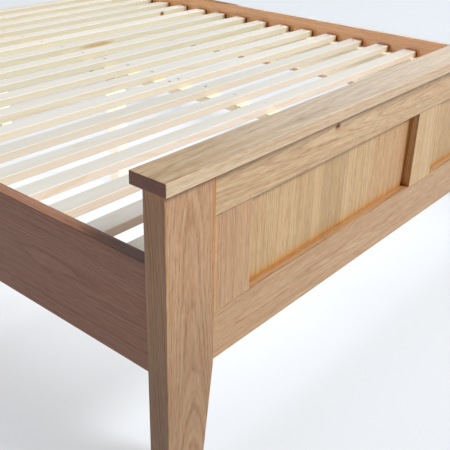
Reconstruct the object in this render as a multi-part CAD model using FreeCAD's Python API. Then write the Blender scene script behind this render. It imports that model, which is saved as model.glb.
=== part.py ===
"""Knock-down wooden bed frame for a 1600 x 2000 mm mattress.

Millimetres, +Z up. The origin is on the floor under the centre of the bed. The foot end faces -Y,
the head end is at +Y, and X runs across the bed. Both ends are framed and panelled: posts, rails
tenoned into the posts, stiles, a centre muntin and floating panels, under a cap board. The side rails
hook on to the posts. Pine slats lie on ledgers and on a centre rail.
"""
import FreeCAD, Part
import os

from FreeCAD import Vector

# ---- driving dimensions ----
# mattress and clearances
mattress_width = 1600.0
mattress_length = 2000.0
side_clearance = 10.0        # mattress edge to side rail
end_clearance = 7.5          # mattress end to post

# posts
post_width = 110.0           # across the bed
post_depth = 44.0            # along the bed
foot_post_height = 574.0
head_post_height = 1028.0
post_foot_width = 84.0       # width of the tapered leg at the floor
post_round = 2.0

# cap boards
cap_thickness = 22.0
cap_overhang_side = 11.0
cap_overhang_face = 14.5
cap_round = 1.5

# framed and panelled ends
frame_recess = 8.0           # frame members behind the post's face
frame_thickness = 34.0
top_rail_height = 81.0
bottom_rail_height = 98.0
bottom_rail_drop = 353.0     # post top down to the underside of the lowest rail
stile_width = 100.0
muntin_width = 100.0
head_gap = 135.0             # open gap between the head cross rail and the panelled frame above it
arris = 1.0                  # eased edge of every frame member
panel_recess = 19.0          # panel behind the frame members' face
panel_thickness = 9.0
groove_depth = 8.0
groove_play = 0.1            # each side of the panel in its groove
panel_end_gap = 1.0          # panel edge to the bottom of its groove

# tenons and dowels
tenon_thickness = 12.0
tenon_length = 30.0
tenon_shoulder = 10.0
glue_gap = 0.1
mortise_spare = 1.0          # end of a tenon or dowel to the bottom of its hole
dowel_radius = 4.0
dowel_length = 30.0
stile_dowels = 3
cap_rail_dowels = 5
cap_post_dowels = 2

# side rails
side_rail_height = 205.0
side_rail_thickness = 25.0
side_rail_recess = 8.0       # behind the post's outer side
side_rail_drop = 338.0       # foot post top down to the underside of the side rail
side_rail_round = 2.0

# pine battens: slats and centre rail are cut from one section, and the ledgers are as wide but deeper
batten_width = 47.0
batten_thickness = 20.0
batten_round = 2.0
ledger_depth = 120.0
slat_count = 18
slat_drop = 38.0             # side rail top down to slat top
slat_end_gap = 8.0           # slat end to side rail
slat_foot_gap = 79.0         # foot post to first slat
slat_head_gap = 97.0         # last slat to head post
ledger_end_gap = 1.0
centre_leg_side = 44.0
centre_leg_spacing = 650.0
cleat_thickness = 20.0
cleat_height = 44.0

# bed-rail connectors
plate_width = 18.0
plate_height = 130.0
plate_thickness = 3.0
plate_play = 0.1
hook_thickness = 3.0
hook_reach = 9.0
hook_neck = 16.0
hook_drop = 6.0
hook_play = 0.3
hook_spacing = 60.0
slot_height = 26.0
pocket_spare = 3.0
plate_screw_spacing = 110.0

# screws: head radius, shank radius, length
slat_screw = (4.0, 2.0, 35.0)
ledger_screw = (4.5, 2.25, 62.0)
leg_screw = (4.5, 2.25, 70.0)
cleat_screw = (4.0, 2.0, 40.0)
plate_screw = (3.6, 1.8, 20.0)
head_slope = 1.0             # head depth for each millimetre of its overhang
pilot_play = 0.03
leg_screw_offset = 11.0
cross_width = 1.0
cross_depth = 1.2

# ---- positions worked out from them ----
inner_width = mattress_width + 2 * side_clearance
inner_length = mattress_length + 2 * end_clearance
frame_width = inner_width + 2 * (side_rail_thickness + side_rail_recess)
frame_length = inner_length + 2 * post_depth

post_outer_x = frame_width / 2
post_inner_x = post_outer_x - post_width
rail_inner_x = inner_width / 2
rail_centre_x = rail_inner_x + side_rail_thickness / 2
foot_face_y = -frame_length / 2
head_face_y = frame_length / 2 - post_depth
foot_inner_y = foot_face_y + post_depth

low_rail_bottom = foot_post_height - bottom_rail_drop
low_rail_top = low_rail_bottom + bottom_rail_height
side_rail_bottom = foot_post_height - side_rail_drop
side_rail_top = side_rail_bottom + side_rail_height
slat_top = side_rail_top - slat_drop
slat_bottom = slat_top - batten_thickness
batten_bottom = slat_bottom - batten_thickness
slat_length = inner_width - 2 * slat_end_gap
slat_pitch = (inner_length - slat_foot_gap - slat_head_gap - batten_width) / (slat_count - 1)
head_panel_bottom = low_rail_top + head_gap

NODES = {}
X, Y, Z = Vector(1, 0, 0), Vector(0, 1, 0), Vector(0, 0, 1)


# ---- small helpers ----
def block(x0, x1, y0, y1, z0, z1):
    """A box between two corners, given in either order."""
    low = Vector(min(x0, x1), min(y0, y1), min(z0, z1))
    return Part.makeBox(abs(x1 - x0), abs(y1 - y0), abs(z1 - z0), low)


def eased(shape, radius, along, least=0.9):
    """Round the edges that run along one direction."""
    edges = [e for e in shape.Edges if abs(e.tangentAt(e.FirstParameter).dot(along)) > least]
    return shape.makeFillet(radius, edges)


def cut(shape, tools):
    return shape.cut(Part.makeCompound(tools)) if tools else shape


def peg(start, direction, length, radius):
    return Part.makeCylinder(radius, length, start, direction)


def spread(count, low, high):
    """Evenly spaced values, half a step in from each end."""
    step = (high - low) / count
    return [low + step * (i + 0.5) for i in range(count)]


def screw(kind, at, direction, cross=False):
    """A countersunk screw whose head is flush at a point and whose shank runs along a direction."""
    head_radius, shank_radius, length = kind
    head_depth = (head_radius - shank_radius) * head_slope
    head = Part.makeCone(head_radius, shank_radius, head_depth, at, direction)
    shank = peg(at + direction * head_depth, direction, length - head_depth, shank_radius)
    body = head.fuse(shank).removeSplitter()
    if cross:
        reach = shank_radius
        low = at.z - cross_depth
        body = cut(body, [
            block(at.x - reach, at.x + reach, at.y - cross_width / 2, at.y + cross_width / 2, low, at.z),
            block(at.x - cross_width / 2, at.x + cross_width / 2, at.y - reach, at.y + reach, low, at.z)])
    return body


def screw_hole(kind, at, direction):
    """The countersunk hole that a screw fills, with its play."""
    head_radius, shank_radius, length = kind
    wider = (head_radius + pilot_play, shank_radius + pilot_play, length + pilot_play)
    return screw(wider, at, direction)


def keep(name, shapes):
    """File one solid, or a group of separate solids, under a node's name."""
    solids = shapes if isinstance(shapes, list) else [shapes]
    NODES[name] = solids


# ---- where the fasteners go ----
def slat_y(index):
    """The foot-side edge of a slat."""
    return foot_inner_y + slat_foot_gap + index * slat_pitch


def slat_screw_points():
    """One screw at each end over the ledger, and one over the centre rail."""
    end_x = rail_inner_x - (batten_width + slat_end_gap) / 2
    return [[Vector(x, slat_y(i) + batten_width / 2, slat_top) for x in (-end_x, 0.0, end_x)]
            for i in range(slat_count)]


def ledger_screw_points(side):
    """A screw midway between slats, in every second gap."""
    x = side * (rail_inner_x - batten_width)
    z = slat_bottom - ledger_depth / 2
    half_gap = (batten_width + slat_pitch) / 2
    return [Vector(x, slat_y(i) + half_gap, z) for i in range(0, slat_count - 1, 2)]


def leg_centres():
    return [("foot", -centre_leg_spacing), ("middle", 0.0), ("head", centre_leg_spacing)]


def leg_screw_points(y):
    return [Vector(x, y, slat_bottom) for x in (-leg_screw_offset, leg_screw_offset)]


def cleat_screw_points():
    """Two screws through the foot cleat into the muntin."""
    y = foot_face_y + frame_recess + frame_thickness + cleat_thickness
    return [Vector(0, y, batten_bottom - cleat_height * share) for share in (0.3, 0.7)]


def head_block_y():
    y = head_face_y + frame_recess
    return y, y + frame_thickness


def head_block_screw_point():
    return Vector(0, sum(head_block_y()) / 2, slat_bottom)


def plate_centre_z():
    return side_rail_bottom + side_rail_height / 2


def plate_screw_zs():
    return [plate_centre_z() + s * plate_screw_spacing / 2 for s in (-1, 1)]


def hook_bases():
    """Height of the edge that each hook sits on."""
    return [plate_centre_z() + s * hook_spacing / 2 - hook_neck / 2 for s in (-1, 1)]


def corners():
    """Each corner's side, the joint's y, and the direction from rail to post."""
    return [(side, y, into) for side in (-1, 1) for y, into in ((foot_inner_y, -1), (head_face_y, 1))]


def cap_dowel_xs(side):
    """Where dowels join the cap to one post."""
    low, high = post_inner_x + tenon_length, post_outer_x
    return [side * x for x in spread(cap_post_dowels, low, high)]


# ---- framed and panelled ends ----
def end_post(side, face_y, height, joint_y, into):
    """A post with a leg tapered on its inner side, its mortises and its connector housing."""
    outline = [(post_outer_x, 0), (post_outer_x, height), (post_inner_x, height),
               (post_inner_x, low_rail_bottom), (post_outer_x - post_foot_width, 0)]
    corners_3d = [Vector(side * x, face_y, z) for x, z in outline]
    profile = Part.Face(Part.makePolygon(corners_3d + corners_3d[:1]))
    post = eased(profile.extrude(Vector(0, post_depth, 0)), post_round, Z)
    return cut(post, connector_housing(side, joint_y, into))


def frame_y(face_y):
    """Front and back of the frame members of the end whose post faces are at face_y."""
    return face_y + frame_recess, face_y + frame_recess + frame_thickness


def panel_y(face_y):
    front = face_y + frame_recess + panel_recess
    return front, front + panel_thickness


def tenon_box(side, face_y, z0, z1, play):
    """The tenon of a rail in a post, or its mortise when play is given."""
    front, back = frame_y(face_y)
    middle = (front + back) / 2
    half = tenon_thickness / 2 + play
    reach = tenon_length + (mortise_spare if play else 0)
    return block(side * post_inner_x, side * (post_inner_x + reach), middle - half, middle + half,
                 z0 + tenon_shoulder - play, z1 - tenon_shoulder + play)


def end_rail(face_y, z0, z1, groove_up, groove_down):
    """A rail between the posts, with its tenons and its panel grooves."""
    front, back = frame_y(face_y)
    rail = eased(block(-post_inner_x, post_inner_x, front, back, z0, z1), arris, X)
    for side in (-1, 1):
        rail = rail.fuse(tenon_box(side, face_y, z0, z1, 0))
    p0, p1 = panel_y(face_y)
    grooves = []
    if groove_up:
        grooves.append(block(-post_inner_x, post_inner_x, p0 - groove_play, p1 + groove_play,
                             z1 - groove_depth, z1))
    if groove_down:
        grooves.append(block(-post_inner_x, post_inner_x, p0 - groove_play, p1 + groove_play,
                             z0, z0 + groove_depth))
    return cut(rail, grooves).removeSplitter()


def upright(x0, x1, face_y, z0, z1, groove_left, groove_right):
    """A stile or muntin with stub tenons that enter the rails' grooves."""
    front, back = frame_y(face_y)
    p0, p1 = panel_y(face_y)
    stub = groove_depth - panel_end_gap
    piece = eased(block(x0, x1, front, back, z0, z1), arris, Z)
    piece = piece.fuse(block(x0, x1, p0, p1, z0 - stub, z1 + stub))
    low, high = z0 - groove_depth, z1 + groove_depth
    grooves = []
    if groove_left:
        grooves.append(block(x0, x0 + groove_depth, p0 - groove_play, p1 + groove_play, low, high))
    if groove_right:
        grooves.append(block(x1 - groove_depth, x1, p0 - groove_play, p1 + groove_play, low, high))
    return cut(piece, grooves)


def panel(x0, x1, face_y, z0, z1):
    """A floating panel that stands on the lower groove and stops short of the other three."""
    p0, p1 = panel_y(face_y)
    grip = groove_depth - panel_end_gap
    return block(x0 - grip, x1 + grip, p0, p1, z0 - groove_depth, z1 + grip)


def stile_dowel(side, face_y, z, play=0.0):
    """A dowel across the joint of a stile and a post, or the hole it fills."""
    middle = sum(frame_y(face_y)) / 2
    half = dowel_length / 2 + (mortise_spare if play else 0)
    start = Vector(side * post_inner_x - half, middle, z)
    return peg(start, X, 2 * half, dowel_radius + play)


def cap_dowel(x, y, z, play=0.0):
    """An upright dowel in the underside of a cap, or the hole it fills."""
    half = dowel_length / 2 + (mortise_spare if play else 0)
    return peg(Vector(x, y, z - half), Z, 2 * half, dowel_radius + play)


def build_end(name, face_y, height, panel_rail_bottom, joint_y, into):
    """One whole end of the bed: posts, cap, rails, stiles, muntin, panels and dowels."""
    panel_rail_top = panel_rail_bottom + bottom_rail_height
    top_rail_bottom = height - top_rail_height
    rails = [("top_rail", top_rail_bottom, height, False, True)]
    if name == "foot":
        rails.append(("bottom_rail", panel_rail_bottom, panel_rail_top, True, False))
    else:
        rails.append(("panel_rail", panel_rail_bottom, panel_rail_top, True, False))
        rails.append(("cross_rail", low_rail_bottom, low_rail_top, False, False))

    middle_y = sum(frame_y(face_y)) / 2
    stile_zs = spread(stile_dowels, panel_rail_top, top_rail_bottom)
    rail_dowel_xs = spread(cap_rail_dowels, -post_inner_x, post_inner_x)
    cap_xs = rail_dowel_xs + cap_dowel_xs(-1) + cap_dowel_xs(1)

    for label, z0, z1, up, down in rails:
        rail = end_rail(face_y, z0, z1, up, down)
        if label == "top_rail":
            rail = cut(rail, [cap_dowel(x, middle_y, height, glue_gap) for x in rail_dowel_xs])
        keep(f"{name}_{label}", rail)

    for side, word in ((-1, "left"), (1, "right")):
        post = end_post(side, face_y, height, joint_y, into)
        holes = [tenon_box(side, face_y, z0, z1, glue_gap) for _, z0, z1, _, _ in rails]
        holes += [stile_dowel(side, face_y, z, glue_gap) for z in stile_zs]
        holes += [cap_dowel(x, middle_y, height, glue_gap) for x in cap_dowel_xs(side)]
        keep(f"{name}_post_{word}", cut(post, holes))

        outer, inner = side * post_inner_x, side * (post_inner_x - stile_width)
        stile = upright(min(outer, inner), max(outer, inner), face_y, panel_rail_top, top_rail_bottom,
                        side > 0, side < 0)
        keep(f"{name}_stile_{word}",
             cut(stile, [stile_dowel(side, face_y, z, glue_gap) for z in stile_zs]))

        near = side * muntin_width / 2
        keep(f"{name}_panel_{word}",
             panel(min(near, inner), max(near, inner), face_y, panel_rail_top, top_rail_bottom))

    muntin = upright(-muntin_width / 2, muntin_width / 2, face_y, panel_rail_top, top_rail_bottom,
                     True, True)
    if name == "foot":
        muntin = cut(muntin, [screw_hole(cleat_screw, at, -Y) for at in cleat_screw_points()])
    keep(f"{name}_muntin", muntin)

    cap = block(-post_outer_x - cap_overhang_side, post_outer_x + cap_overhang_side,
                face_y - cap_overhang_face, face_y + post_depth + cap_overhang_face,
                height, height + cap_thickness)
    cap = cap.makeFillet(cap_round, cap.Edges)
    keep(f"{name}_cap", cut(cap, [cap_dowel(x, middle_y, height, glue_gap) for x in cap_xs]))

    dowels = [cap_dowel(x, middle_y, height) for x in cap_xs]
    dowels += [stile_dowel(side, face_y, z) for side in (-1, 1) for z in stile_zs]
    keep(f"{name}_dowels", dowels)


# ---- bed-rail connectors ----
def plate_box(side, joint_y, toward, play):
    """A connector plate let into the wood, or its housing; toward points into that wood."""
    x = side * rail_centre_x
    half = plate_width / 2 + play
    tall = plate_height / 2 + play
    return block(x - half, x + half, joint_y, joint_y + toward * plate_thickness,
                 plate_centre_z() - tall, plate_centre_z() + tall)


def plate_screws(side, joint_y, toward):
    """Two screws through a plate, sunk flush with its face."""
    return [(Vector(side * rail_centre_x, joint_y, z), Y * toward) for z in plate_screw_zs()]


def connector_housing(side, joint_y, into):
    """What is cut from a post: the plate's housing, the hooks' pockets and the screw holes."""
    x = side * rail_centre_x
    deep = joint_y + into * (hook_reach + pocket_spare)
    cuts = [plate_box(side, joint_y, into, plate_play)]
    for base in hook_bases():
        cuts.append(block(x - hook_thickness, x + hook_thickness, joint_y, deep,
                          base - hook_drop - pocket_spare, base + slot_height))
    cuts += [screw_hole(plate_screw, at, way) for at, way in plate_screws(side, joint_y, into)]
    return cuts


def slot_plate(side, joint_y, into):
    """The plate in the post: two slots that the hooks drop into."""
    x = side * rail_centre_x
    half = hook_thickness / 2 + hook_play
    cuts = [block(x - half, x + half, joint_y, joint_y + into * plate_thickness, base, base + slot_height)
            for base in hook_bases()]
    cuts += [screw_hole(plate_screw, at, way) for at, way in plate_screws(side, joint_y, into)]
    return cut(plate_box(side, joint_y, into, 0), cuts)


def hook_plate(side, joint_y, into):
    """The plate in the end of the side rail, with two hooks in one piece with it."""
    x0 = side * rail_centre_x - hook_thickness / 2
    plate = plate_box(side, joint_y, -into, 0)
    throat = plate_thickness + hook_play
    for base in hook_bases():
        outline = [(0, base), (0, base + hook_neck), (hook_reach, base + hook_neck),
                   (hook_reach, base - hook_drop), (throat, base - hook_drop), (throat, base)]
        points = [Vector(x0, joint_y + into * u, z) for u, z in outline]
        profile = Part.Face(Part.makePolygon(points + points[:1]))
        plate = plate.fuse(profile.extrude(Vector(hook_thickness, 0, 0)))
    holes = [screw_hole(plate_screw, at, way) for at, way in plate_screws(side, joint_y, -into)]
    return cut(plate.removeSplitter(), holes)


def build_connectors():
    keep("hook_plates", [hook_plate(*corner) for corner in corners()])
    keep("slot_plates", [slot_plate(*corner) for corner in corners()])
    screws = []
    for side, y, into in corners():
        for toward in (into, -into):
            screws += [screw(plate_screw, at, way) for at, way in plate_screws(side, y, toward)]
    keep("plate_screws", screws)


# ---- side rails and ledgers ----
def build_sides():
    ledger_screws = []
    for side, word in ((-1, "left"), (1, "right")):
        outer_x = side * (rail_inner_x + side_rail_thickness)
        rail = eased(block(side * rail_inner_x, outer_x, foot_inner_y, head_face_y,
                           side_rail_bottom, side_rail_top), side_rail_round, Y)
        points = ledger_screw_points(side)
        holes = [screw_hole(ledger_screw, at, X * side) for at in points]
        for y, into in ((foot_inner_y, -1), (head_face_y, 1)):
            holes.append(plate_box(side, y, -into, plate_play))
            holes += [screw_hole(plate_screw, at, way) for at, way in plate_screws(side, y, -into)]
        keep(f"side_rail_{word}", cut(rail, holes))

        ledger = eased(block(side * (rail_inner_x - batten_width), side * rail_inner_x,
                             foot_inner_y + ledger_end_gap, head_face_y - ledger_end_gap,
                             slat_bottom - ledger_depth, slat_bottom), batten_round, Y)
        ledger_holes = [screw_hole(ledger_screw, at, X * side) for at in points]
        ledger_holes += [screw_hole(slat_screw, row[1 + side], -Z) for row in slat_screw_points()]
        keep(f"ledger_{word}", cut(ledger, ledger_holes))
        ledger_screws += [screw(ledger_screw, at, X * side) for at in points]
    keep("ledger_screws", ledger_screws)


# ---- slats ----
def build_slats():
    screws = []
    for i, row in enumerate(slat_screw_points()):
        y0 = slat_y(i)
        slat = eased(block(-slat_length / 2, slat_length / 2, y0, y0 + batten_width,
                           slat_bottom, slat_top), batten_round, X)
        keep(f"slat_{i + 1:02d}", cut(slat, [screw_hole(slat_screw, at, -Z) for at in row]))
        screws += [screw(slat_screw, at, -Z, cross=True) for at in row]
    keep("slat_screws", screws)


# ---- centre support ----
def build_centre():
    """The centre rail, its cleat on the muntin, its block on the head cross rail and its three legs."""
    half = batten_width / 2
    foot_end = foot_face_y + frame_recess + frame_thickness
    block_y0, block_y1 = head_block_y()
    head_point = head_block_screw_point()
    cleat_points = cleat_screw_points()
    leg_points = [at for _, y in leg_centres() for at in leg_screw_points(y)]

    rail = eased(block(-half, half, foot_end, block_y1, batten_bottom, slat_bottom), batten_round, Y)
    rail_holes = [screw_hole(leg_screw, at, -Z) for at in leg_points + [head_point]]
    rail_holes += [screw_hole(slat_screw, row[1], -Z) for row in slat_screw_points()]
    keep("centre_rail", cut(rail, rail_holes))

    half_leg = centre_leg_side / 2
    for word, y in leg_centres():
        leg = eased(block(-half_leg, half_leg, y - half_leg, y + half_leg, 0, batten_bottom),
                    batten_round, Z)
        keep(f"centre_leg_{word}", cut(leg, [screw_hole(leg_screw, at, -Z) for at in leg_screw_points(y)]))

    cleat = block(-half, half, foot_end, foot_end + cleat_thickness,
                  batten_bottom - cleat_height, batten_bottom)
    keep("centre_foot_cleat", cut(cleat, [screw_hole(cleat_screw, at, -Y) for at in cleat_points]))

    head_block = block(-half, half, block_y0, block_y1, low_rail_top, batten_bottom)
    keep("centre_head_block", cut(head_block, [screw_hole(leg_screw, head_point, -Z)]))
    NODES["head_cross_rail"] = [cut(NODES["head_cross_rail"][0], [screw_hole(leg_screw, head_point, -Z)])]

    screws = [screw(leg_screw, at, -Z) for at in leg_points + [head_point]]
    screws += [screw(cleat_screw, at, -Y) for at in cleat_points]
    keep("centre_screws", screws)


def export_all():
    os.makedirs("parts", exist_ok=True)
    for name, solids in NODES.items():
        shape = solids[0] if len(solids) == 1 else Part.makeCompound(solids)
        if not shape.isValid():
            print("invalid shape:", name)
        shape.exportStep(f"parts/{name}.step")
    print(len(NODES), "nodes,", sum(len(s) for s in NODES.values()), "solids")
    print("overall width", frame_width + 2 * cap_overhang_side,
          "length", frame_length + 2 * cap_overhang_face,
          "foot height", foot_post_height + cap_thickness,
          "head height", head_post_height + cap_thickness)
    print("slat top", slat_top, "slat pitch", round(slat_pitch, 2))


build_end("foot", foot_face_y, foot_post_height, low_rail_bottom, foot_inner_y, -1)
build_end("head", head_face_y, head_post_height, head_panel_bottom, head_face_y, 1)
build_sides()
build_connectors()
build_slats()
build_centre()
export_all()
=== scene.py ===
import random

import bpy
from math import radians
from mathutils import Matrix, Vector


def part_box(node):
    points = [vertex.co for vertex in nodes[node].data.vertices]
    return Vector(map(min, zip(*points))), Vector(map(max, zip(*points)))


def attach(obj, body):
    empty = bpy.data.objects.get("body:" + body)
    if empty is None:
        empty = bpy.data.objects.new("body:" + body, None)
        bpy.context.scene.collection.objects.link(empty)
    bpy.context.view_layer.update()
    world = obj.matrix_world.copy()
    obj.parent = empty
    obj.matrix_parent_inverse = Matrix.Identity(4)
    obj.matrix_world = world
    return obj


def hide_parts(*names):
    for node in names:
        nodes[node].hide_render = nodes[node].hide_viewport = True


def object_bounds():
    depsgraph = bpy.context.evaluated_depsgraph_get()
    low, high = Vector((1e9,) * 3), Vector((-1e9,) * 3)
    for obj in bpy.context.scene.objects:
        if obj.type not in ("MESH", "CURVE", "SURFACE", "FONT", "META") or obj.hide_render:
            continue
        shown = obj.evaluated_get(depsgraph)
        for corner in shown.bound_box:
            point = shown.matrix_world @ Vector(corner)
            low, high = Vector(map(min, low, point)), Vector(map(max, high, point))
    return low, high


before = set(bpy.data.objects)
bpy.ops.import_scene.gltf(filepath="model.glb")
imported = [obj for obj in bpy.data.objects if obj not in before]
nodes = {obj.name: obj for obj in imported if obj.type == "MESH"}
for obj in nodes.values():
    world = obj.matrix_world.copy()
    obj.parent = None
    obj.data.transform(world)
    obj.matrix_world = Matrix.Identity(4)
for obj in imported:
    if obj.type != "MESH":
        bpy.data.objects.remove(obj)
cad_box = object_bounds()

# %% [markdown]
# # A framed and panelled bed, and how its timber is finished
# The joiner's model is already in the scene: posts, rails, stiles, slats and fittings, each a separate
# piece in its own place. This lesson gives every piece its own cut of timber, glues up the panels board
# by board, and lights the bed like a bright studio with its windows on the right.

bpy.ops.object.select_all(action="DESELECT")
scene = bpy.context.scene
bed_low, bed_high = (Vector(corner) for corner in cad_box)
bed_size = bed_high - bed_low
print("bed:", [round(side, 3) for side in bed_size], "metres,", len(nodes), "pieces")

# %% [markdown]
# ## The camera
# The view looks down over the near foot corner. It could be found by trial, but it is easier to keep if
# it is written from something on the bed, so it is placed from the outer top corner of the left foot
# post. A longish lens keeps the boards' edges nearly parallel, and a small roll tips the horizon.

# %% Camera
CAMERA_FROM_CORNER = Vector((-0.6330, -0.6337, 0.4179))
HEADING, TILT_DOWN, ROLL = radians(50.339), radians(27.444), radians(1.484)
LENS_LENGTH = 57.91

post_low, post_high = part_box("foot_post_left")
post_corner = Vector((post_low[0], post_low[1], post_high[2]))
lens = bpy.data.cameras.new("corner_camera")
lens.lens = LENS_LENGTH
camera = bpy.data.objects.new("corner_camera", lens)
scene.collection.objects.link(camera)
aim = (Matrix.Rotation(-HEADING, 4, "Z") @ Matrix.Rotation(radians(90) - TILT_DOWN, 4, "X")
       @ Matrix.Rotation(ROLL, 4, "Z"))
camera.matrix_world = Matrix.Translation(post_corner + CAMERA_FROM_CORNER) @ aim
scene.camera = camera
print("camera at", [round(value, 3) for value in camera.location])

# %% [markdown]
# ## The studio
# Oak looks rich when most of its light comes from one side. Two daylight boxes stand to the front and the
# right and light the footboard, and two cool ones stand over the bed and low at its right, like windows:
# they whiten the slats and put a sheen on the cap. One narrow strip skims over the slats and warms the
# inside of the far rail. A lamp under the slats keeps the floor bright in their gaps, and a small strip
# behind the footboard lifts its shadow. The left gets only a faint warm glow, so those faces stay brown.
# None of the lamps can be seen by the camera.

# %% Soft boxes
scene.view_settings.view_transform = "Standard"
bed_middle = (bed_low + bed_high) / 2


def soft_box(name, toward, distance, size, power, colour):
    """A square area light that faces the middle of the bed; toward is where it stands, seen from there."""
    light = bpy.data.lights.new(name, "AREA")
    light.shape = "SQUARE"
    light.size = size
    light.energy = power
    light.color = colour
    lamp = bpy.data.objects.new(name, light)
    scene.collection.objects.link(lamp)
    direction = Vector(toward).normalized()
    lamp.location = bed_middle + direction * distance
    lamp.rotation_euler = direction.to_track_quat("Z", "Y").to_euler()
    lamp.visible_camera = False
    return lamp


DAYLIGHT = (0.95, 0.985, 1.0)
COOL = (0.80, 0.92, 1.0)
STRIP_PLACE = Vector((-3.0, 0.0, 1.25))
UNDER_PLACE = Vector((-0.05, -0.15, 0.34))
BEHIND_FOOTBOARD = Vector((0.0, bed_low.y + 0.17, 0.585))
soft_box("front_box", (0.45, -1.0, 0.90), 20.0, 5.0, 4330, DAYLIGHT)
soft_box("right_box", (1.0, -0.6, 0.5), 20.0, 6.9, 1050, DAYLIGHT)
soft_box("high_window", (0.3, 0.2, 1.5), 20.0, 13.0, 1950, COOL)
soft_box("low_window", (1.0, 0.45, 0.24), 24.0, 11.8, 650, COOL)
soft_box("left_glow", (-1.0, -0.3, 0.35), 20.0, 8.0, 240, (1.0, 0.28, 0.08))

strip = soft_box("rail_strip", (-3.8, 0.0, 0.82), 1.0, 2.4, 0.38, (1.0, 0.82, 0.60))
strip.data.shape = "RECTANGLE"
strip.data.size_y, strip.data.spread = 0.05, radians(2)
strip.location = STRIP_PLACE
under = soft_box("under_bed", (0.0, 0.0, 1.0), 1.0, 1.3, 7.5, (1.0, 0.98, 1.0))
under.location = UNDER_PLACE
fill = soft_box("foot_fill", (0.0, 0.0, 1.0), 1.0, 1.5, 0.55, (1.0, 0.96, 0.90))
fill.data.shape = "RECTANGLE"
fill.data.size_y, fill.data.spread = 0.16, radians(80)
fill.location = BEHIND_FOOTBOARD

# %% [markdown]
# ## The room
# A little light comes from everywhere. The world could be one grey, but then the backdrop would be grey
# too, so rays from the camera see a pale blue and all other rays see a dim room.

# %% Room light
room = bpy.data.worlds.new("pale_room")
room.use_nodes = True
scene.world = room
room_nodes, room_links = room.node_tree.nodes, room.node_tree.links
room_nodes.clear()
dim = room_nodes.new("ShaderNodeBackground")
dim.inputs["Color"].default_value = (1.0, 0.62, 0.42, 1)
dim.inputs["Strength"].default_value = 0.02
pale = room_nodes.new("ShaderNodeBackground")
pale.inputs["Color"].default_value = (0.86, 0.91, 0.96, 1)
pale.inputs["Strength"].default_value = 1.0
ray = room_nodes.new("ShaderNodeLightPath")
choose = room_nodes.new("ShaderNodeMixShader")
sky_out = room_nodes.new("ShaderNodeOutputWorld")
room_links.new(ray.outputs["Is Camera Ray"], choose.inputs[0])
room_links.new(dim.outputs[0], choose.inputs[1])
room_links.new(pale.outputs[0], choose.inputs[2])
room_links.new(choose.outputs[0], sky_out.inputs["Surface"])
print("room light strength", dim.inputs["Strength"].default_value)

# %% [markdown]
# ## The floor
# The bed stands on a plain white floor. Under a bed a painted floor would go dull, so this one glows
# like backlit acrylic. That keeps its shadows faint, and it shows bright between the slats.

# %% Floor
FLOOR_SIDE = 40.0
bpy.ops.mesh.primitive_plane_add(size=FLOOR_SIDE, location=(0, 0, bed_low.z))
floor = bpy.context.active_object
floor.name = "studio_floor"
floor_paint = bpy.data.materials.new("white_floor")
floor_paint.use_nodes = True
floor_shader = floor_paint.node_tree.nodes["Principled BSDF"]
floor_shader.inputs["Base Color"].default_value = (0.285, 0.30, 0.315, 1)
floor_shader.inputs["Roughness"].default_value = 1.0
floor_shader.inputs["Specular IOR Level"].default_value = 0.1
floor_shader.inputs["Emission Color"].default_value = (0.955, 0.97, 1.0, 1)
floor_shader.inputs["Emission Strength"].default_value = 0.50
floor.data.materials.append(floor_paint)
floor.select_set(False)
print("floor is", FLOOR_SIDE, "metres square")

# %% [markdown]
# ## Small helpers for node trees
# A wood pattern is mostly sums: rings, fibres and streaks are added and looked up in a colour ramp. In the
# node editor each step would be a box and a few wires, so these short helpers each stand for one box.

# %% Node helpers
def add_node(tree, kind, **settings):
    """A new node, with the settings that are its own properties."""
    node = tree.nodes.new(kind)
    for key, value in settings.items():
        setattr(node, key, value)
    return node


def plug(tree, value, socket):
    """Connects a socket, or sets a number, on an input."""
    if isinstance(value, bpy.types.NodeSocket):
        tree.links.new(value, socket)
    else:
        socket.default_value = value


def maths(tree, operation, first, second=0.0, third=0.0, clamp=False):
    """One Math node's result."""
    node = add_node(tree, "ShaderNodeMath", operation=operation, use_clamp=clamp)
    for value, socket in zip((first, second, third), node.inputs):
        plug(tree, value, socket)
    return node.outputs[0]


def stretch(tree, place, across, along):
    """A place with its two cross directions and its grain direction scaled apart."""
    node = add_node(tree, "ShaderNodeVectorMath", operation="MULTIPLY")
    plug(tree, place, node.inputs[0])
    node.inputs[1].default_value = (across, across, along)
    return node.outputs[0]


def cloud(tree, place, detail=2.0, rough=0.5):
    """Soft noise from 0 to 1."""
    node = add_node(tree, "ShaderNodeTexNoise")
    plug(tree, place, node.inputs["Vector"])
    node.inputs["Scale"].default_value = 1.0
    node.inputs["Detail"].default_value = detail
    node.inputs["Roughness"].default_value = rough
    return node.outputs["Fac"]


def centred(tree, value, amount):
    """A 0 to 1 value as a push either side of nothing, amount wide."""
    return maths(tree, "MULTIPLY_ADD", value, amount, -amount / 2)


def ramp(tree, value, stops):
    """A colour ramp: stops are (position, (red, green, blue))."""
    node = add_node(tree, "ShaderNodeValToRGB")
    bar = node.color_ramp
    bar.elements[0].position, bar.elements[1].position = stops[0][0], stops[-1][0]
    for position, _ in stops[1:-1]:
        bar.elements.new(position)
    for element, (_, colour) in zip(bar.elements, stops):
        element.color = (*colour, 1)
    plug(tree, value, node.inputs["Fac"])
    return node.outputs["Color"]


def tint(tree, colour, by, amount=1.0):
    """A colour multiplied by another, wholly or in part."""
    node = add_node(tree, "ShaderNodeMix", data_type="RGBA", blend_type="MULTIPLY")
    plug(tree, amount, node.inputs[0])
    plug(tree, colour, node.inputs[6])
    plug(tree, by if isinstance(by, bpy.types.NodeSocket) else (*by, 1), node.inputs[7])
    return node.outputs[2]


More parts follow.
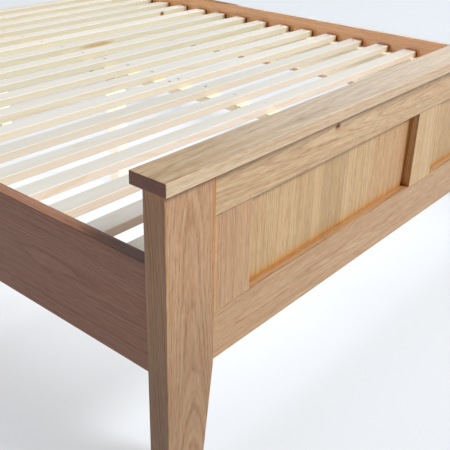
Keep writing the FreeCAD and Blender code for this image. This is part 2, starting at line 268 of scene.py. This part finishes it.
def bump(tree, height, strength, depth):
    """A surface normal that rises and falls with a height."""
    node = add_node(tree, "ShaderNodeBump")
    node.inputs["Strength"].default_value = strength
    node.inputs["Distance"].default_value = depth
    plug(tree, height, node.inputs["Height"])
    return node.outputs[0]


def fresh_material(name):
    """A new material, its node tree and its shader."""
    material = bpy.data.materials.new(name)
    material.use_nodes = True
    return material, material.node_tree, material.node_tree.nodes["Principled BSDF"]


print("helpers ready")

# %% [markdown]
# ## Where a board lies in its log
# The pattern on a board is a cut through a tree. So the grain is drawn once, in the log, with the pith on
# its long axis, and each board is laid into the log where it was sawn. A board above the pith gets
# arched crowns, a board far to one side gets straight lines, and its ends show the rings by themselves.

# %% Sawing plan
AXES = {"X": Vector((1, 0, 0)), "Y": Vector((0, 1, 0)), "Z": Vector((0, 0, 1))}
LOG_LENGTHS = 40.0


def sawn(middle, grain, width, across, depth, lean=0.0, skew=0.0, along=0.0):
    """The turn and the shift that lay a board in its log, whose pith runs along Z."""
    long_way, wide_way = AXES[grain], AXES[width]
    turn = (Matrix.Rotation(radians(lean), 3, "X") @ Matrix.Rotation(radians(skew), 3, "Y")
            @ Matrix((wide_way, long_way.cross(wide_way), long_way)))
    return turn, Vector((across, depth, along)) - turn @ middle


def middle_of(name):
    """The middle of a piece's box."""
    lowest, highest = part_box(name)
    return (Vector(lowest) + Vector(highest)) / 2


print("a board above the pith is", sawn(middle_of("foot_cap"), "X", "Y", 0, 0.05)[1])

# %% [markdown]
# ## Years of growth
# Both woods grow in rings round a pith that wanders a little, so one helper counts the years between the
# pith and a place, with a ripple on each ring. A wood's grain could be copied into every board's material,
# but a node group is drawn once and shared: a second helper wraps a wood's drawing in such a group.

# %% Years and grain groups
def years(tree, place, year, wander, ripple):
    """How many years of growth lie between the pith and a place."""
    split = add_node(tree, "ShaderNodeSeparateXYZ")
    plug(tree, place, split.inputs[0])
    drift = add_node(tree, "ShaderNodeTexNoise", noise_dimensions="1D")
    plug(tree, split.outputs[2], drift.inputs["W"])
    drift.inputs["Scale"].default_value = 1.6
    drift.inputs["Detail"].default_value = 1.0
    shift = add_node(tree, "ShaderNodeSeparateColor")
    plug(tree, drift.outputs["Color"], shift.inputs[0])
    x = maths(tree, "ADD", split.outputs[0], centred(tree, shift.outputs[0], wander))
    y = maths(tree, "ADD", split.outputs[1], centred(tree, shift.outputs[1], wander))
    square = maths(tree, "ADD", maths(tree, "MULTIPLY", x, x), maths(tree, "MULTIPLY", y, y))
    radius = maths(tree, "SQRT", square)
    wave = centred(tree, cloud(tree, stretch(tree, place, 28, 9), 2), ripple)
    return maths(tree, "DIVIDE", maths(tree, "ADD", radius, wave), year)


def grain_group(name, draw):
    """A group that gives a wood's colour, its pores or late wood, and its fibre height in the log."""
    group = bpy.data.node_groups.new(name, "ShaderNodeTree")
    group.interface.new_socket("Place", in_out="INPUT", socket_type="NodeSocketVector")
    group.interface.new_socket("Colour", in_out="OUTPUT", socket_type="NodeSocketColor")
    group.interface.new_socket("Pores", in_out="OUTPUT", socket_type="NodeSocketFloat")
    group.interface.new_socket("Fibre", in_out="OUTPUT", socket_type="NodeSocketFloat")
    group_in, group_out = add_node(group, "NodeGroupInput"), add_node(group, "NodeGroupOutput")
    for made, socket in zip(draw(group, group_in.outputs["Place"]), group_out.inputs):
        group.links.new(made, socket)
    print(name, "has", len(group.nodes), "nodes")
    return group


print("a grain group gives a colour, its pores and its fibre")

# %% [markdown]
# ## Oak, drawn in the log
# Oak is a ring-porous wood: each year starts with a band of open pores and ends in dense, paler wood. The
# drawing gives each year its own tone, and lays fine fibres, short flecks, broad stripes and dark pores
# along the grain.

# %% Oak grain group
OAK_YEAR, OAK_WANDER, OAK_RIPPLE = 0.0032, 0.02, 0.0042
OAK_YEAR_PORES = [(0.0, (0.9,) * 3), (0.22, (0.65,) * 3), (0.5, (0.1,) * 3), (0.9, (0,) * 3),
                  (1.0, (0.6,) * 3)]
OAK_BROWNS = [(0.0, (0.32, 0.155, 0.072)), (0.3, (0.445, 0.250, 0.124)), (0.55, (0.535, 0.332, 0.18)),
              (0.8, (0.61, 0.40, 0.232)), (1.0, (0.67, 0.465, 0.292))]
DARKER_EARLY_WOOD = -0.21
PORE_BROWN = (0.62, 0.52, 0.45)


def oak_colour(tree, place):
    """Oak's colour, its pores and its fibre height at a place in the log."""
    count = years(tree, place, OAK_YEAR, OAK_WANDER, OAK_RIPPLE)
    early = ramp(tree, maths(tree, "FRACT", count), OAK_YEAR_PORES)
    year_tone = add_node(tree, "ShaderNodeTexNoise", noise_dimensions="1D")
    plug(tree, count, year_tone.inputs["W"])
    year_tone.inputs["Scale"].default_value = 0.8
    fibre = cloud(tree, stretch(tree, place, 520, 6), 3, 0.65)
    stripe = cloud(tree, stretch(tree, place, 90, 1.0), 2)
    fleck = cloud(tree, stretch(tree, place, 330, 42), 2)
    shade = maths(tree, "ADD", 0.595, centred(tree, fibre, 1.1))
    shade = maths(tree, "ADD", shade, centred(tree, fleck, 0.6))
    shade = maths(tree, "ADD", shade, centred(tree, stripe, 0.55))
    shade = maths(tree, "ADD", shade, centred(tree, year_tone.outputs["Fac"], 0.5))
    shade = maths(tree, "ADD", shade, maths(tree, "MULTIPLY", early, DARKER_EARLY_WOOD), clamp=True)
    colour = ramp(tree, shade, OAK_BROWNS)
    hue = ramp(tree, cloud(tree, stretch(tree, place, 240, 2.5), 2),
               [(0.35, (1.02, 0.94, 0.885)), (0.65, (0.945, 0.955, 0.93))])
    colour = tint(tree, colour, hue)
    dash = cloud(tree, stretch(tree, place, 1100, 40), 1)
    pores = maths(tree, "MULTIPLY", ramp(tree, dash, [(0.54, (0,) * 3), (0.62, (1,) * 3)]),
                  maths(tree, "MULTIPLY_ADD", early, 0.8, 0.2))
    colour = tint(tree, colour, PORE_BROWN, maths(tree, "MULTIPLY", pores, 0.6))
    return colour, pores, fibre


oak_grain = grain_group("oak_in_the_log", oak_colour)

# %% [markdown]
# ## Pine, drawn in the log
# The slats are pine. It has no pores: each year is cream wood that ends in one thin orange line, and the
# whole board is paler and quieter than oak.

# %% Pine grain group
PINE_YEAR, PINE_WANDER, PINE_RIPPLE = 0.0042, 0.02, 0.003
PINE_YEAR_LINE = [(0.0, (0,) * 3), (0.55, (0.08,) * 3), (0.86, (0.9,) * 3), (0.93, (1,) * 3),
                  (1.0, (0,) * 3)]
PINE_CREAMS = [(0.0, (0.74, 0.55, 0.34)), (0.35, (0.84, 0.74, 0.55)), (0.6, (0.88, 0.82, 0.68)),
               (1.0, (0.91, 0.87, 0.78))]
DARKER_LATE_WOOD = -0.28


def pine_colour(tree, place):
    """Pine's colour, its late wood and its fibre height at a place in the log."""
    count = years(tree, place, PINE_YEAR, PINE_WANDER, PINE_RIPPLE)
    late = ramp(tree, maths(tree, "FRACT", count), PINE_YEAR_LINE)
    fibre = cloud(tree, stretch(tree, place, 260, 5), 2)
    stripe = cloud(tree, stretch(tree, place, 40, 0.9), 2)
    shade = maths(tree, "ADD", 0.68, centred(tree, fibre, 0.3))
    shade = maths(tree, "ADD", shade, centred(tree, stripe, 0.55))
    shade = maths(tree, "ADD", shade, maths(tree, "MULTIPLY", late, DARKER_LATE_WOOD), clamp=True)
    colour = ramp(tree, shade, PINE_CREAMS)
    return colour, late, fibre


pine_grain = grain_group("pine_in_the_log", pine_colour)

# %% [markdown]
# ## Knots and streaks
# A knot is where a branch left the tree: it has a dark heart and a brown ring, and the years bend round
# it. A streak is a stain that follows the grain, and the same tint also carries a painted glow and a painted
# shadow. Both could be painted by hand, but a soft spot at a named place is easier to move, so one mask
# serves both. It is longer along the grain than across it.

# %% Knots and streaks
KNOT_RING, KNOT_HEART = (0.66, 0.42, 0.26), (0.35, 0.25, 0.2)
KNOT_BEND = 0.012


def knot_mask(tree, place, grain, where, size, longer):
    """1 at a knot's heart, 0 outside it; a knot or a streak is longer along the grain."""
    away = add_node(tree, "ShaderNodeVectorMath", operation="SUBTRACT")
    plug(tree, place, away.inputs[0])
    away.inputs[1].default_value = where
    shape = add_node(tree, "ShaderNodeVectorMath", operation="MULTIPLY")
    plug(tree, away.outputs[0], shape.inputs[0])
    shape.inputs[1].default_value = [1 / longer if AXES[grain][i] else 1.0 for i in range(3)]
    far = add_node(tree, "ShaderNodeVectorMath", operation="LENGTH")
    plug(tree, shape.outputs[0], far.inputs[0])
    return maths(tree, "SUBTRACT", 1.0, maths(tree, "DIVIDE", far.outputs["Value"], size * 2.5), clamp=True)


def bend_round(tree, place, near):
    """A place in the log pushed aside near a knot, so that the years bend round it."""
    bend = add_node(tree, "ShaderNodeCombineXYZ")
    plug(tree, maths(tree, "MULTIPLY", maths(tree, "POWER", near, 2.0), KNOT_BEND), bend.inputs[1])
    bent = add_node(tree, "ShaderNodeVectorMath", operation="ADD")
    plug(tree, place, bent.inputs[0])
    plug(tree, bend.outputs[0], bent.inputs[1])
    return bent.outputs[0]


def paint_knot(tree, colour, near):
    """A colour with a knot's brown ring and dark heart."""
    ring = ramp(tree, near, [(0.15, (0,) * 3), (0.55, (0.9,) * 3)])
    heart = ramp(tree, near, [(0.56, (0,) * 3), (0.66, (1,) * 3)])
    return tint(tree, tint(tree, colour, KNOT_RING, ring), KNOT_HEART, heart)


def paint_streak(tree, colour, near, fibre, stain_and_painted_light):
    """A colour with a streak that is stronger at its middle and patchy along the fibres: a stain, and in two
    places painted light and painted shadow.
    """
    soft = ramp(tree, near, [(0.0, (0,) * 3), (0.5, (1,) * 3)])
    patchy = maths(tree, "MULTIPLY_ADD", fibre, 1.4, 0.1)
    return tint(tree, colour, stain_and_painted_light, maths(tree, "MULTIPLY", soft, patchy, clamp=True))


print("a knot bends the years by up to", KNOT_BEND, "metres")

# %% [markdown]
# ## Ends, edges and corners
# A board isn't one colour all over. Its end grain drinks more oil and goes dark, and that tint is deepened
# as painted shade on shaded ends. A slat's front and back edges get a painted light tint apart from its top,
# and oak's inner corners get painted shade: brown at the deepest, and an orange painted glow of bounced
# light just outside. Each face could be given its own material, but the way a surface faces already tells
# ends and edges apart, and an ambient occlusion node finds the corners.

# %% Ends, edges and corners
FACING = [(0.6, (0,) * 3), (0.9, (1,) * 3)]
# End grain is darker, and this tint is deepened further as painted shade, so shaded ends such as the cap's
# end come out dark.
END_GRAIN_AND_SHADE = (0.38, 0.18, 0.14)
# Painted shade and painted light: where ambient occlusion finds an inner corner, the colour goes brown at
# the deepest and orange just outside, standing for shadow and warm bounced light.
PAINTED_SHADE_REACH = 0.014
PAINTED_CORNER_SHADE_AND_GLOW = [(0.2, (0.70, 0.42, 0.19)), (0.5, (1.12, 0.78, 0.36)), (0.7, (1.10, 0.92, 0.62)),
               (0.95, (1.0, 1.0, 1.0))]


def facing(tree, axis):
    """1 where the surface faces along an axis, 0 where it faces across it."""
    surface = add_node(tree, "ShaderNodeNewGeometry")
    split = add_node(tree, "ShaderNodeSeparateXYZ")
    plug(tree, surface.outputs["Normal"], split.inputs[0])
    return ramp(tree, maths(tree, "ABSOLUTE", split.outputs["XYZ".index(axis)]), FACING)


def paint_corner_shade_and_glow(tree, colour):
    """A colour that turns orange, then brown, in inner corners: painted bounce light, then painted shade."""
    corner = add_node(tree, "ShaderNodeAmbientOcclusion", samples=10)
    corner.inputs["Distance"].default_value = PAINTED_SHADE_REACH
    return tint(tree, colour, ramp(tree, corner.outputs["AO"], PAINTED_CORNER_SHADE_AND_GLOW))


# The painted corner shade reaches this far out of a corner.
print("painted corner shade reaches", PAINTED_SHADE_REACH, "metres out of a corner")

# %% [markdown]
# ## One timber finish
# Every board gets a material of its own, because no two boards come from the same place in a tree. It
# lays the board in its log, asks the grain group for the colour, and adds knots, streaks, darker ends, the
# painted shade of corners and the painted light of slat edges. A thin coat gives the shine: its three values
# are its weight, its roughness and how strongly it mirrors. The fibres and the pores give the bump.

# %% Timber finish
GRAINS = {"oak": oak_grain, "pine": pine_grain}
SHINES = {"oak": (0.46, 0.00025), "pine": (0.50, 0.00015)}
OILED, WAXED, POLISHED = (0.03, 0.3, 1.5), (0.6, 0.3, 1.5), (1.0, 0.10, 2.2)


def timber(name, wood, grain, laid, tone=(1, 1, 1), knots=(), streaks=(), gloss=OILED, edges=None):
    """A board's material, from its wood and the place where it was sawn; edges is a painted light tint for a
    slat's front and back edges.
    """
    material, tree, shader = fresh_material(name)
    here = add_node(tree, "ShaderNodeTexCoord").outputs["Object"]
    lay = add_node(tree, "ShaderNodeMapping")
    plug(tree, here, lay.inputs["Vector"])
    turn, shift = laid
    lay.inputs["Rotation"].default_value = turn.to_euler("XYZ")
    lay.inputs["Location"].default_value = shift
    place = lay.outputs[0]
    masks = [knot_mask(tree, here, grain, *knot) for knot in knots]
    for near in masks:
        place = bend_round(tree, place, near)
    pattern = add_node(tree, "ShaderNodeGroup", node_tree=GRAINS[wood])
    plug(tree, place, pattern.inputs["Place"])
    pores, fibre = pattern.outputs["Pores"], pattern.outputs["Fibre"]
    colour = tint(tree, pattern.outputs["Colour"], tone)
    for near in masks:
        colour = paint_knot(tree, colour, near)
    for where, size, longer, stain_and_painted_light in streaks:
        near = knot_mask(tree, here, grain, where, size, longer)
        colour = paint_streak(tree, colour, near, fibre, stain_and_painted_light)
    # Ends take the dark end grain tint, partly the wood's own and partly painted shade.
    end = facing(tree, grain)
    colour = tint(tree, colour, END_GRAIN_AND_SHADE, end)
    # Oak's inner corners get painted shade and a painted orange glow of bounced light.
    if wood == "oak":
        colour = paint_corner_shade_and_glow(tree, colour)
    # A slat's front and back edges get their painted light tint.
    if edges:
        colour = tint(tree, colour, edges, facing(tree, "Y"))
    plug(tree, colour, shader.inputs["Base Color"])
    shine, pore_depth = SHINES[wood]
    rough = maths(tree, "MULTIPLY_ADD", fibre, 0.16, shine - 0.08)
    plug(tree, maths(tree, "MULTIPLY_ADD", end, 0.2, rough), shader.inputs["Roughness"])
    shader.inputs["Specular IOR Level"].default_value = 0.3
    for socket, value in zip(("Coat Weight", "Coat Roughness", "Coat IOR"), gloss):
        shader.inputs[socket].default_value = value
    height = maths(tree, "SUBTRACT", maths(tree, "MULTIPLY", fibre, 0.5), pores)
    plug(tree, bump(tree, height, 0.35, pore_depth), shader.inputs["Normal"])
    return material


def dress(name, material):
    """Gives a ready-made piece its finish and leaves its shape alone."""
    piece = nodes[name]
    piece.data.materials.clear()
    piece.data.materials.append(material)


print("finishes for", ", ".join(GRAINS))

# %% [markdown]
# ## Three ways to saw a board
# A crown-cut board is sawn above the pith and shows arches, a quarter-cut board is sawn beside it and
# shows straight lines, and a rift-cut board lies between. A cut is a range across the log, a range of
# depth in metres, and the most that the board leans to the pith in degrees. Each board draws its own small
# differences from a seed that is its name, so the bed comes out the same every time.

# %% Saw cuts
CUTS = {"crown": ((-0.012, 0.012), (0.035, 0.065), 1.6), "rift": ((0.06, 0.09), (0.05, 0.08), 0.7),
        "quarter": ((0.15, 0.24), (0.02, 0.05), 0.4)}
TONE_SPREAD = 0.05


def board(name, middle, wood, grain, width, cut, tone=(1, 1, 1), lean=None, **extras):
    """A board's material for one kind of saw cut, with this board's own luck."""
    luck = random.Random(name)
    across_range, depth_range, most_lean = CUTS[cut]
    across = luck.uniform(*across_range) * luck.choice((-1, 1))
    depth = -luck.uniform(*depth_range)
    lean = luck.uniform(-most_lean, most_lean) if lean is None else lean
    skew, along = luck.uniform(-0.4, 0.4), luck.uniform(0, LOG_LENGTHS)
    laid = sawn(middle, grain, width, across, depth, lean, skew, along)
    depth_of_colour = 1 + luck.uniform(-TONE_SPREAD, TONE_SPREAD)
    return timber(f"{wood}_{name}", wood, grain, laid, [channel * depth_of_colour for channel in tone],
                  **extras)


print("cuts:", ", ".join(CUTS))

# %% [markdown]
# ## Uprights
# Posts, stiles and muntins stand with their grain upright. The posts are crown cut, and stiles and muntins
# are straighter, so that the frame stays true. The rosier boards were picked for the uprights. The left
# foot post has a painted warm glow of bounced light along its inner edge, and darkens toward its foot. A
# streak is its middle, its size, how much longer it is along the grain, and its tint.

# %% Posts, stiles and muntins
ROSY = (0.75, 0.73, 0.75)
ROSE_GOLD = (0.80, 0.80, 0.83)
HONEY = (0.92, 1.02, 1.02)
# Painted light: a thin warm glow of bounced light down the left foot post's inner edge, where it meets the
# frame.
inner_edge_glow = Vector((post_high[0] - 0.003, post_low[1], post_high[2] - 0.05))
foot_of_post = Vector(((post_low[0] + post_high[0]) / 2, post_low[1], 0.05))
POST_GLOW_AND_DARKENING = [(inner_edge_glow, 0.0022, 60.0, (1.0, 0.72, 0.35)), (foot_of_post, 0.07, 2.2, (0.72, 0.72, 0.70))]
POST_LEAN = 3.2
for end in ("foot", "head"):
    for hand in ("left", "right"):
        post, stile = f"{end}_post_{hand}", f"{end}_stile_{hand}"
        streaks = POST_GLOW_AND_DARKENING if post == "foot_post_left" else ()
        dress(post, board(post, middle_of(post), "oak", "Z", "X", "crown", ROSY, lean=POST_LEAN,
                          streaks=streaks))
        dress(stile, board(stile, middle_of(stile), "oak", "Z", "X", "quarter", ROSE_GOLD))
    muntin = f"{end}_muntin"
    dress(muntin, board(muntin, middle_of(muntin), "oak", "Z", "X", "rift", HONEY))
print("uprights done")

# %% [markdown]
# ## Rails, caps and sides
# Rails and caps run from post to post and the two side rails run from head to foot, all with their grain
# lying down. The caps get the palest boards and one more coat, because they are handled most. The top
# rail of the footboard has one small dark knot, close under the cap, and its cap has one brown streak.
# The left side rail is the brownest board, darkened further as painted shade on its outer face, and along
# its top near the foot it has a painted blue-grey shadow of the footboard.
# The right side rail is polished, so that it mirrors the slats a little.

# %% Rails, caps and side rails
PALE = (0.96, 1.13, 1.33)
# The left side rail's tone: its own browner wood, darkened further as painted shade on its outer face.
BROWN_AND_SHADE = (0.62, 0.52, 0.62)
TAN = (0.98, 0.88, 0.75)
rail_low, rail_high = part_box("foot_top_rail")
top_rail_knot = (Vector((-0.389, rail_low[1], rail_high[2] - 0.022)), 0.0038, 1.5)
RAIL_TONES = {"foot_top_rail": (0.94, 1.06, 1.15), "foot_bottom_rail": (0.82, 0.84, 0.88)}
for rail in ("foot_top_rail", "foot_bottom_rail", "head_top_rail", "head_panel_rail", "head_cross_rail"):
    knots = [top_rail_knot] if rail == "foot_top_rail" else ()
    tone = RAIL_TONES.get(rail, HONEY)
    dress(rail, board(rail, middle_of(rail), "oak", "X", "Z", "crown", tone, knots=knots))
cap_low, cap_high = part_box("foot_cap")
CAP_STREAK = [(Vector((-0.60, cap_low[1] + 0.022, cap_high[2])), 0.004, 32.0, (0.80, 0.70, 0.55))]
for cap in ("foot_cap", "head_cap"):
    streaks = CAP_STREAK if cap == "foot_cap" else ()
    dress(cap, board(cap, middle_of(cap), "oak", "X", "Y", "crown", PALE, streaks=streaks, gloss=WAXED))
left_low, left_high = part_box("side_rail_left")
# Painted shadow: a blue-grey shadow of the footboard along the left side rail's top near the foot.
FOOTBOARD_SHADOW = [(Vector((left_low[0] + 0.012, left_low[1] + 0.02, left_high[2])), 0.007, 9.0, (0.46, 0.58, 0.84))]
for side, tone, extras in (("side_rail_left", BROWN_AND_SHADE, {"streaks": FOOTBOARD_SHADOW}),
                           ("side_rail_right", TAN, {"gloss": POLISHED})):
    dress(side, board(side, middle_of(side), "oak", "Y", "Z", "crown", tone, **extras))
print("rails, caps and sides done")

# %% [markdown]
# ## Panels, glued up board by board
# Oak panels this wide are glued from narrow boards. A flat sheet with lines painted on it would do from
# far away, but each board here is its own piece of wood: a block is added at its size and place, its
# upright edges are eased by a hair, and the boards are joined into one panel. The near panel's boards are
# listed one by one; the others are drawn from a seed.

# %% Panels
PEACH = (0.92, 0.94, 0.92)
DUSKY = (0.84, 0.92, 0.90)
JOINT_EASE = 0.0004
BOARD_WIDTH = 0.10
PICKED = {"foot_panel_left": [(0.070, HONEY, "quarter"), (0.091, HONEY, "rift"), (0.092, HONEY, "quarter"),
                              (0.075, DUSKY, "quarter"), (0.113, HONEY, "crown"), (0.082, PEACH, "rift"),
                              (0.076, PEACH, "quarter")]}


def glued_panel(node):
    """A panel of narrow oak boards that takes the place of the plain one."""
    lowest, highest = (Vector(corner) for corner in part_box(node))
    luck = random.Random(node)
    picked = PICKED.get(node) or [
        (luck.uniform(0.75, 1.25), luck.choice((HONEY, PEACH, DUSKY)), luck.choice(tuple(CUTS)))
        for _ in range(round((highest.x - lowest.x) / BOARD_WIDTH))]
    total = sum(share for share, _, _ in picked)
    edge = lowest.x
    boards = []
    for number, (share, tone, cut) in enumerate(picked, start=1):
        width = (highest.x - lowest.x) * share / total
        size = Vector((width, highest.y - lowest.y, highest.z - lowest.z))
        middle = Vector((edge + width / 2, (lowest.y + highest.y) / 2, (lowest.z + highest.z) / 2))
        edge += width
        bpy.ops.mesh.primitive_cube_add(size=1, location=middle, scale=size)
        plank = bpy.context.active_object
        plank.name = f"{node}_board_{number}"
        bpy.ops.object.transform_apply(location=True, rotation=True, scale=True)
        for line in plank.data.edges:
            first, second = (plank.data.vertices[v].co for v in line.vertices)
            line.select = abs(first.z - second.z) > size.z / 2
        bpy.ops.object.mode_set(mode="EDIT")
        bpy.ops.mesh.select_mode(type="EDGE")
        bpy.ops.mesh.bevel(offset=JOINT_EASE, segments=2)
        bpy.ops.object.mode_set(mode="OBJECT")
        plank.data.materials.append(board(plank.name, middle, "oak", "Z", "X", cut, tone))
        boards.append(plank)
    for plank in boards:
        plank.select_set(True)
    bpy.context.view_layer.objects.active = boards[0]
    bpy.ops.object.join()
    panel = bpy.context.active_object
    panel.name = f"{node}_boards"
    panel.select_set(False)
    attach(panel, "root")
    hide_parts(node)
    return len(picked)


for end in ("foot", "head"):
    for hand in ("left", "right"):
        print(f"{end} panel {hand}:", glued_panel(f"{end}_panel_{hand}"), "boards")

# %% [markdown]
# ## Slats
# Eighteen pine slats lie across the bed. Their tops are tinted as painted light: darker and greyer toward
# the foot, paler and bluer toward the head, where more light and sheen fall. Their front and back edges get
# painted light too, lighter near the foot and darker and yellower toward the head. A few slats carry knots,
# which are listed one by one; all else is each board's own luck.

# %% Pine slats
def on_slat(name, x, face):
    """A place on a slat's top or front face, x from the middle of the bed."""
    lowest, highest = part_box(name)
    if face == "top":
        return Vector((x, (lowest[1] + highest[1]) / 2, highest[2]))
    return Vector((x, lowest[1], (lowest[2] + highest[2]) / 2))


# Painted light: slat tops and edges are tinted by place, blending from the foot's tints to the head's, which
# are reached at this slat.
FULL_PAINTED_LIGHT_FROM_SLAT = 9
NEAR_TOP_PAINTED_LIGHT, FAR_TOP_PAINTED_LIGHT = Vector((0.69, 0.68, 0.72)), Vector((0.87, 0.88, 0.96))
NEAR_EDGE_PAINTED_LIGHT, FAR_EDGE_PAINTED_LIGHT = Vector((1.13, 1.02, 0.99)), Vector((0.77, 0.735, 0.59))
SLAT_KNOTS = {
    "slat_07": [(on_slat("slat_07", -0.036, "top"), 0.0025, 1.4)],
    "slat_14": [(on_slat("slat_14", 0.655, "front"), 0.006, 1.3)],
}
SLAT_STREAKS = {"slat_12": [(on_slat("slat_12", 0.13, "front"), 0.004, 9.0, (0.80, 0.55, 0.30))]}
slats = sorted(name for name in nodes if name.startswith("slat_") and name[5:].isdigit())
for number, slat in enumerate(slats):
    cut = random.Random(slat).choice(tuple(CUTS))
    knots = SLAT_KNOTS.get(slat, ())
    streaks = SLAT_STREAKS.get(slat, ())
    # Each slat's painted light tints, blended by its place from foot to head.
    toward_head = min(1.0, number / FULL_PAINTED_LIGHT_FROM_SLAT)
    top = NEAR_TOP_PAINTED_LIGHT.lerp(FAR_TOP_PAINTED_LIGHT, toward_head)
    edge = NEAR_EDGE_PAINTED_LIGHT.lerp(FAR_EDGE_PAINTED_LIGHT, toward_head)
    dress(slat, board(slat, middle_of(slat), "pine", "X", "Y", cut, top, knots=knots, streaks=streaks,
                      edges=edge))
print(len(slats), "slats")

# %% [markdown]
# ## What carries the slats
# Two deep ledgers along the side rails and a centre rail on three legs carry the slats. They are half
# hidden, so plainer, rift-cut pine would be bought for them. Each one still gets a material of its own; the
# ledgers and centre rail get a cream tone raised as painted light, to lift the shade they stand in under the
# slats.

# %% Pine battens, legs and blocks
# Pine's cream, raised above its own colour as painted light to lift the shade under the slats.
CREAM_AND_PAINTED_LIGHT = (1.08, 1.04, 0.94)
for batten in ("ledger_left", "ledger_right", "centre_rail"):
    dress(batten, board(batten, middle_of(batten), "pine", "Y", "X", "rift", CREAM_AND_PAINTED_LIGHT))
for leg in ("centre_leg_foot", "centre_leg_middle", "centre_leg_head"):
    dress(leg, board(leg, middle_of(leg), "pine", "Z", "X", "rift"))
for block in ("centre_foot_cleat", "centre_head_block"):
    dress(block, board(block, middle_of(block), "pine", "X", "Z", "rift"))
print("battens and legs done")

# %% [markdown]
# ## Beech dowels
# The frames are pinned with beech dowels. They are hidden in their joints, but beech has its own short
# brown flecks, so they get them.

# %% Dowels
beech, beech_tree, beech_shader = fresh_material("beech_dowel")
beech_place = add_node(beech_tree, "ShaderNodeTexCoord").outputs["Object"]
fleck = cloud(beech_tree, stretch(beech_tree, beech_place, 260, 2600), 2)
plug(beech_tree, ramp(beech_tree, fleck, [(0.35, (0.42, 0.24, 0.12)), (0.6, (0.66, 0.44, 0.26))]),
     beech_shader.inputs["Base Color"])
beech_shader.inputs["Roughness"].default_value = 0.55
for pins in ("foot_dowels", "head_dowels"):
    dress(pins, beech)
print("dowels done")

# %% [markdown]
# ## Zinc and steel
# Hook plates join the side rails to the posts, and countersunk screws hold the rest. Rolled plate is
# dull with long faint scratches; screws are brighter. Both get a cloudy zinc colour and a fine bump.

# %% Metal fittings
def zinc(name, grey, shine, streaks):
    """A zinc-plated steel finish."""
    material, tree, shader = fresh_material(name)
    place = add_node(tree, "ShaderNodeTexCoord").outputs["Object"]
    patch = cloud(tree, stretch(tree, place, 120, 120), 3)
    scratch = cloud(tree, stretch(tree, place, streaks, 60), 2)
    light, dark = (grey,) * 3, (grey * 0.82, grey * 0.83, grey * 0.86)
    plug(tree, ramp(tree, patch, [(0.35, dark), (0.65, light)]), shader.inputs["Base Color"])
    shader.inputs["Metallic"].default_value = 1.0
    plug(tree, maths(tree, "MULTIPLY_ADD", scratch, 0.25, shine), shader.inputs["Roughness"])
    plug(tree, bump(tree, scratch, 0.2, 0.0001), shader.inputs["Normal"])
    return material


plate_zinc = zinc("zinc_plate", 0.62, 0.30, 1500)
screw_zinc = zinc("zinc_screw", 0.72, 0.18, 400)
for fitting in ("hook_plates", "slot_plates"):
    dress(fitting, plate_zinc)
for screws in ("plate_screws", "ledger_screws", "slat_screws", "centre_screws"):
    dress(screws, screw_zinc)
print("fittings done")
